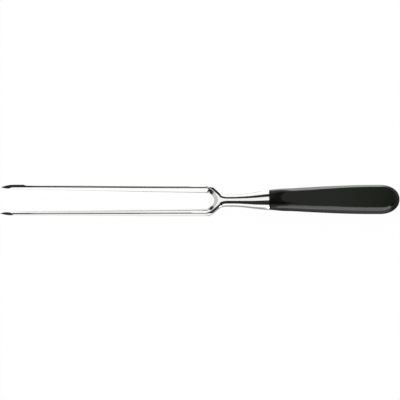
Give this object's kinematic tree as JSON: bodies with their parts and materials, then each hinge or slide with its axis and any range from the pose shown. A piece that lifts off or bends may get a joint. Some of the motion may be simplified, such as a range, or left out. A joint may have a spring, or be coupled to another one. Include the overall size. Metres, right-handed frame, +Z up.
{
  "type": "flesh fork",
  "caption": "Long straight flesh fork: slim pointed tines joined by a forged yoke, a neck flaring to a bolster, and a black flat-sided handle.",
  "frame": {"origin": "bottom centre of the fork's box: under the middle of its length, on the plane of the handle's lower flat", "axes": "+X along the fork from the points to the butt, +Y across the two tines, +Z up out of the handle's upper flat"},
  "size_m": [0.337, 0.0268, 0.0172],
  "materials": {
    "steel": "stainless steel, mirror polished",
    "handle": "black plastic, polished",
    "cement": "cured resin cement"
  },
  "bodies": {
    "root": {"fork_forging": "steel", "handle": "handle", "tang_cement": "cement"}
  },
  "joints": []
}
